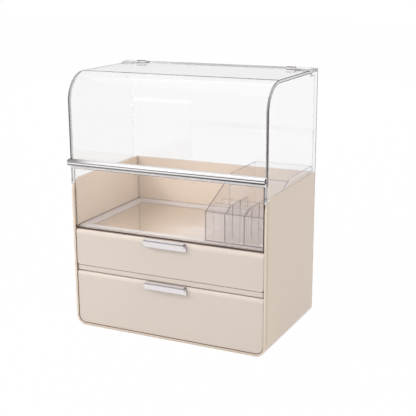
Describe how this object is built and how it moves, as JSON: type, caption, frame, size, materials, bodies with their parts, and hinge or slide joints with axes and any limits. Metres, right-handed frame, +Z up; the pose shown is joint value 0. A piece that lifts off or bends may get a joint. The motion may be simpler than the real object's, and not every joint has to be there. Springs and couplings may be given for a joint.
{
  "type": "makeup organizer",
  "caption": "Cream cosmetics cabinet with pull-out drawers, a clear display deck, a lift-out compartment box and a hinged clear dust canopy.",
  "frame": {"origin": "under the middle of the overall box, canopy bar included, on the surface that it stands on", "axes": "+Z up, -Y to the drawers' front, +X to the right as seen from the front"},
  "size_m": [0.3, 0.199, 0.374],
  "materials": {
    "cream_plastic": "gloss",
    "cream_plastic_light": "gloss",
    "clear_plastic": "clear gloss",
    "chrome_trim": "polished",
    "screw_steel": "satin",
    "dark_plastic": "matt",
    "foot_foam": "matt"
  },
  "bodies": {
    "cabinet": {"cabinet_shell": "cream_plastic", "mid_shelf": "cream_plastic_light", "deck_shelf": "cream_plastic", "foot_pads": "foot_foam", "front_baffle": "clear_plastic", "deck_tray": "clear_plastic", "rear_panel": "clear_plastic", "rear_hinge_left": "clear_plastic", "rear_hinge_right": "clear_plastic", "hinge_pin_left": "screw_steel", "hinge_pin_right": "screw_steel"},
    "upper_drawer": {"upper_drawer_box": "cream_plastic_light", "upper_drawer_front": "cream_plastic_light", "upper_handle": "chrome_trim", "upper_handle_screws": "screw_steel"},
    "lower_drawer": {"lower_drawer_box": "cream_plastic_light", "lower_drawer_front": "cream_plastic_light", "lower_handle": "chrome_trim", "lower_handle_screws": "screw_steel"},
    "canopy": {"canopy_sheet": "clear_plastic", "canopy_side_left": "clear_plastic", "canopy_side_right": "clear_plastic", "canopy_bar": "chrome_trim", "bar_cap_left": "dark_plastic", "bar_cap_right": "dark_plastic", "canopy_hinge_left": "clear_plastic", "canopy_hinge_right": "clear_plastic"},
    "compartments": {"compartment_box": "clear_plastic", "compartment_grid": "clear_plastic"}
  },
  "joints": [
    {"name": "canopy_hinge", "type": "hinge", "parent": "cabinet", "child": "canopy", "pos_m": [0, 0.068, 0.3708], "axis": [-1, 0, 0], "range_deg": [0, 135]},
    {"name": "upper_drawer_slide", "type": "slide", "parent": "cabinet", "child": "upper_drawer", "axis": [0, -1, 0], "range_m": [0, 0.14]},
    {"name": "lower_drawer_slide", "type": "slide", "parent": "cabinet", "child": "lower_drawer", "axis": [0, -1, 0], "range_m": [0, 0.14]},
    {"name": "compartment_lift", "type": "slide", "parent": "cabinet", "child": "compartments", "axis": [0, 0, 1], "range_m": [0, 0.08]}
  ]
}
